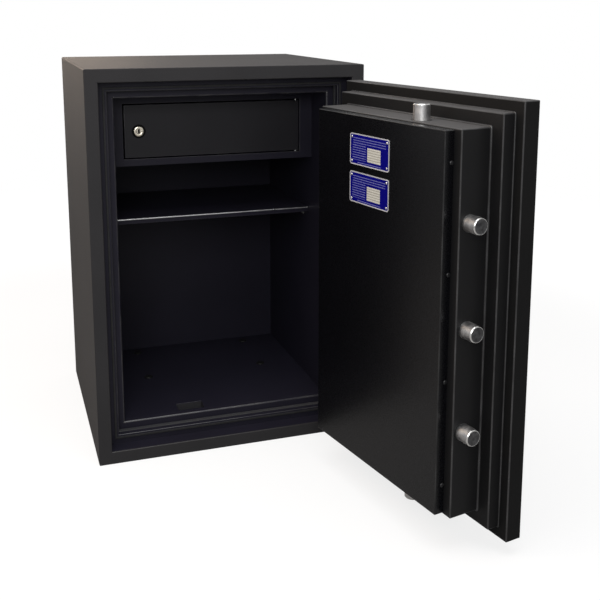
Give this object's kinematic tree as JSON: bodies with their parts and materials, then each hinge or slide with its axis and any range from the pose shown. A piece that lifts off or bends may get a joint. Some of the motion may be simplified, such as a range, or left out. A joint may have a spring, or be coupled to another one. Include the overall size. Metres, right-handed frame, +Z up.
{
  "type": "fire-resistant safe",
  "caption": "Free-standing fire-resistant safe with a stepped swing door, round locking bolts, a shelf and a small locker, shown open",
  "frame": {"origin": "centre of the cabinet's outline on the surface that it stands on", "axes": "+Z up, -Y out of the door opening, +X to the right as seen from the front"},
  "size_m": [0.7215, 1.172, 0.88],
  "materials": {
    "cabinet_paint": "satin dark grey powder coat",
    "step_paint": "satin dark grey powder coat",
    "inner_paint": "satin near-black powder coat",
    "cover_paint": "satin black powder coat",
    "seal_strip": "matt",
    "fire_fill": "matt cast filling",
    "zinc_steel": "dull zinc plated",
    "bolt_steel": "turned and polished",
    "lock_nickel": "satin nickel",
    "handle_chrome": "satin chrome",
    "brass_parts": "plain brass",
    "blue_print": "printed gloss blue on aluminium",
    "rivet_metal": "bright",
    "black_plastic": "matt black"
  },
  "bodies": {
    "cabinet": {"outer_wrapper": "cabinet_paint", "back_panel": "cabinet_paint", "front_jamb": "inner_paint", "rear_jamb": "inner_paint", "smoke_seal": "seal_strip", "fire_seal": "seal_strip", "wall_fill": "fire_fill", "liner_left": "inner_paint", "liner_right": "inner_paint", "liner_roof": "inner_paint", "liner_floor": "inner_paint", "liner_back": "inner_paint", "side_bolt_keepers": "inner_paint", "end_bolt_keepers": "inner_paint", "anchor_plugs": "black_plastic", "frame_hinges": "cabinet_paint", "hinge_pins": "bolt_steel", "shelf_brackets": "zinc_steel", "locker_case": "inner_paint", "locker_frame": "inner_paint", "locker_pins": "zinc_steel"},
    "main_door": {"door_front_pan": "cabinet_paint", "door_fill": "fire_fill", "door_step_pan": "step_paint", "bolt_case": "step_paint", "case_cover": "cover_paint", "cover_screws": "cover_paint", "upper_plate": "blue_print", "lower_plate": "blue_print", "plate_rivets": "rivet_metal", "door_hinges": "cabinet_paint", "side_bolt_guides": "black_plastic", "end_bolt_guides": "black_plastic", "rod_guides": "brass_parts", "spindle_bush": "brass_parts", "handle_rose": "handle_chrome", "lock_case": "brass_parts", "lock_screws": "zinc_steel", "key_cylinder": "handle_chrome"},
    "handle": {"handle_lever": "handle_chrome", "handle_spindle": "zinc_steel", "drive_pinion": "zinc_steel", "pinion_washer": "zinc_steel"},
    "side_bolt_set": {"bolt_carriage": "zinc_steel", "side_bolts": "bolt_steel", "bolt_nuts": "zinc_steel"},
    "top_bolt_set": {"top_rod": "zinc_steel", "top_bolt": "bolt_steel"},
    "bottom_bolt_set": {"bottom_rod": "zinc_steel", "bottom_bolt": "bolt_steel"},
    "key_works": {"key_plug": "brass_parts", "key_crank": "zinc_steel"},
    "lock_bolt": {"lock_bolt": "brass_parts"},
    "shelf": {"shelf": "inner_paint"},
    "locker_door": {"locker_door": "inner_paint", "locker_lock_body": "lock_nickel", "locker_lock_nut": "zinc_steel"},
    "locker_key_works": {"locker_lock_plug": "lock_nickel", "locker_cam": "zinc_steel"}
  },
  "joints": [
    {"name": "main_door_hinge", "type": "hinge", "parent": "cabinet", "child": "main_door", "pos_m": [0.2995, -0.3055, 0.44], "axis": [0, 0, 1], "range_deg": [-101, 74]},
    {"name": "handle_turn", "type": "hinge", "parent": "main_door", "child": "handle", "pos_m": [0.3551, -0.68588, 0.44], "axis": [-0.9816, -0.1908, 0], "range_deg": [0, 90]},
    {"name": "side_bolts_slide", "type": "slide", "parent": "main_door", "child": "side_bolt_set", "axis": [-0.1908, 0.9816, 0], "range_m": [0, 0.02985]},
    {"name": "top_bolt_slide", "type": "slide", "parent": "main_door", "child": "top_bolt_set", "axis": [0, 0, 1], "range_m": [-0.02985, 0]},
    {"name": "bottom_bolt_slide", "type": "slide", "parent": "main_door", "child": "bottom_bolt_set", "axis": [0, 0, 1], "range_m": [0, 0.02985]},
    {"name": "key_turn", "type": "hinge", "parent": "main_door", "child": "key_works", "pos_m": [0.33881, -0.60207, 0.532], "axis": [-0.9816, -0.1908, 0], "range_deg": [-90, 0]},
    {"name": "lock_bolt_slide", "type": "slide", "parent": "main_door", "child": "lock_bolt", "axis": [-0.1908, 0.9816, 0], "range_m": [-0.012, 0]},
    {"name": "shelf_slide", "type": "slide", "parent": "cabinet", "child": "shelf", "axis": [0, -1, 0], "range_m": [0, 0.15]},
    {"name": "locker_door_hinge", "type": "hinge", "parent": "cabinet", "child": "locker_door", "pos_m": [0.2042, -0.1165, 0.7261], "axis": [0, 0, 1], "range_deg": [0, 76]},
    {"name": "locker_key_turn", "type": "hinge", "parent": "locker_door", "child": "locker_key_works", "pos_m": [-0.1772, -0.1225, 0.7261], "axis": [0, -1, 0], "range_deg": [-90, 0]}
  ],
  "couplings": [
    {"joint": "side_bolts_slide", "follows": "handle_turn", "m_per_rad": 0.019},
    {"joint": "top_bolt_slide", "follows": "handle_turn", "m_per_rad": -0.019},
    {"joint": "bottom_bolt_slide", "follows": "handle_turn", "m_per_rad": 0.019},
    {"joint": "lock_bolt_slide", "follows": "key_turn", "m_per_rad": 0.0076394}
  ]
}
